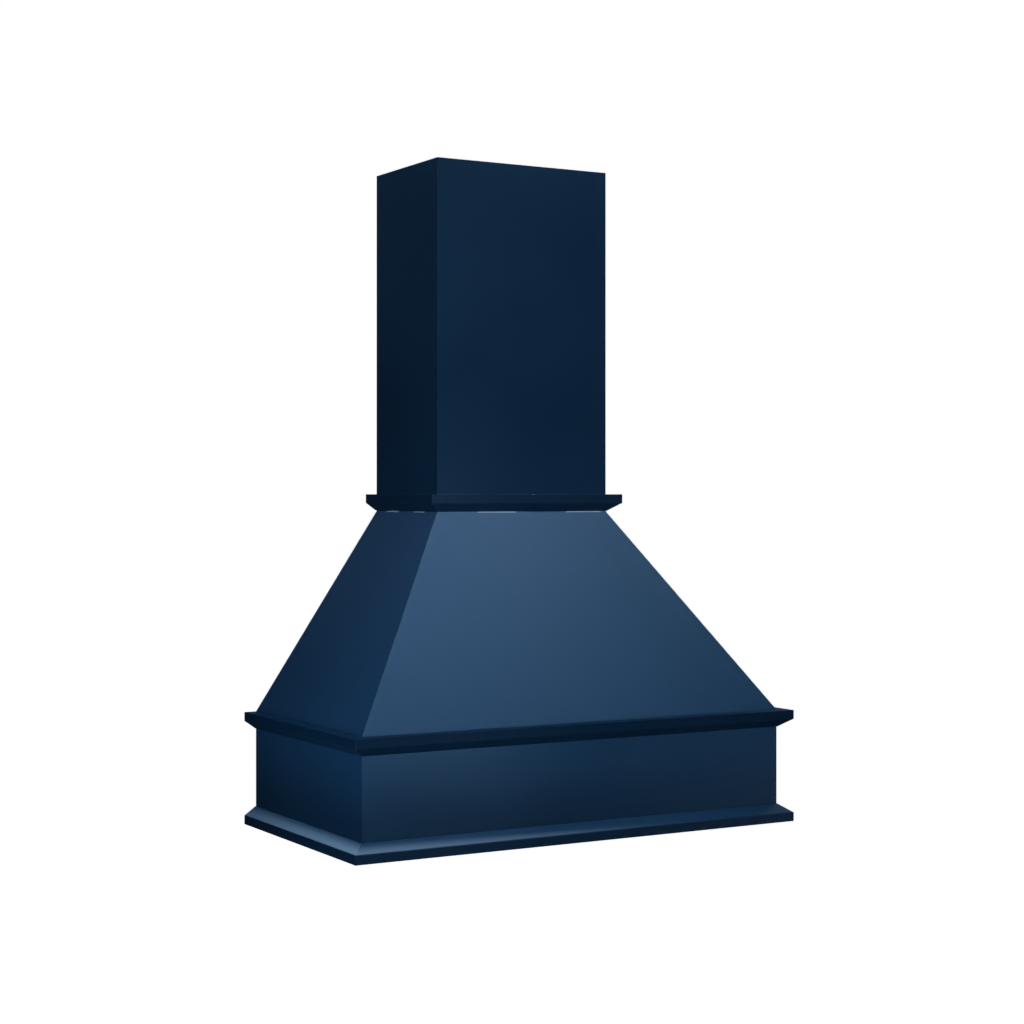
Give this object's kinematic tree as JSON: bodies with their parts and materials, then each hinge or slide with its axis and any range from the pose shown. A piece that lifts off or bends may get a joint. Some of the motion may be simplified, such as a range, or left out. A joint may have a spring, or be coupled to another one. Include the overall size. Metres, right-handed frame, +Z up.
{
  "type": "range hood cover",
  "caption": "Wall-hung wooden range hood cover: box apron, mouldings, tapered body and a lift-off rectangular stack, open at the back and below.",
  "frame": {"origin": "on the wall plane, at mid width, level with the bottom edge of the apron", "axes": "+Y points into the wall, so the front faces -Y; +X runs along the wall to the right as seen from the front; +Z is up"},
  "size_m": [0.9632, 0.5124, 1.303],
  "materials": {
    "navy_paint": "plywood and solid wood under satin navy paint outside, bare inside",
    "raw_wood": "planed bare softwood",
    "zinc_steel": "bright zinc plated"
  },
  "bodies": {
    "hood": {"apron_front": "navy_paint", "apron_left": "navy_paint", "apron_right": "navy_paint", "bottom_moulding_front": "navy_paint", "bottom_moulding_left": "navy_paint", "bottom_moulding_right": "navy_paint", "middle_moulding_front": "navy_paint", "middle_moulding_left": "navy_paint", "middle_moulding_right": "navy_paint", "taper_front": "navy_paint", "taper_left": "navy_paint", "taper_right": "navy_paint", "insert_frame_front": "raw_wood", "insert_frame_back": "raw_wood", "insert_frame_left": "raw_wood", "insert_frame_right": "raw_wood", "foot_frame_front": "raw_wood", "foot_frame_back": "raw_wood", "foot_frame_left": "raw_wood", "foot_frame_right": "raw_wood", "deck_frame_front": "raw_wood", "deck_frame_back": "raw_wood", "deck_frame_left": "raw_wood", "deck_frame_right": "raw_wood", "stack_locator_front": "raw_wood", "stack_locator_left": "raw_wood", "stack_locator_right": "raw_wood", "wall_rail_bottom": "raw_wood", "wall_rail_middle": "raw_wood", "wall_rail_top": "raw_wood", "apron_corner_block_left": "raw_wood", "apron_corner_block_right": "raw_wood", "hip_cleat_left": "raw_wood", "hip_cleat_right": "raw_wood", "insert_frame_screws": "zinc_steel", "foot_frame_screws": "zinc_steel", "wall_rail_screws": "zinc_steel", "stack_locator_screws": "zinc_steel"},
    "stack": {"stack_front": "navy_paint", "stack_left": "navy_paint", "stack_right": "navy_paint", "collar_moulding_front": "navy_paint", "collar_moulding_left": "navy_paint", "collar_moulding_right": "navy_paint", "stack_rail_bottom": "raw_wood", "stack_rail_top": "raw_wood", "stack_corner_block_left": "raw_wood", "stack_corner_block_right": "raw_wood", "stack_top_cleat_front": "raw_wood", "stack_top_cleat_left": "raw_wood", "stack_top_cleat_right": "raw_wood", "stack_rail_screws": "zinc_steel"}
  },
  "joints": [
    {"name": "stack_lift", "type": "slide", "parent": "hood", "child": "stack", "axis": [0, 0, 1], "range_m": [0, 0.06]}
  ]
}
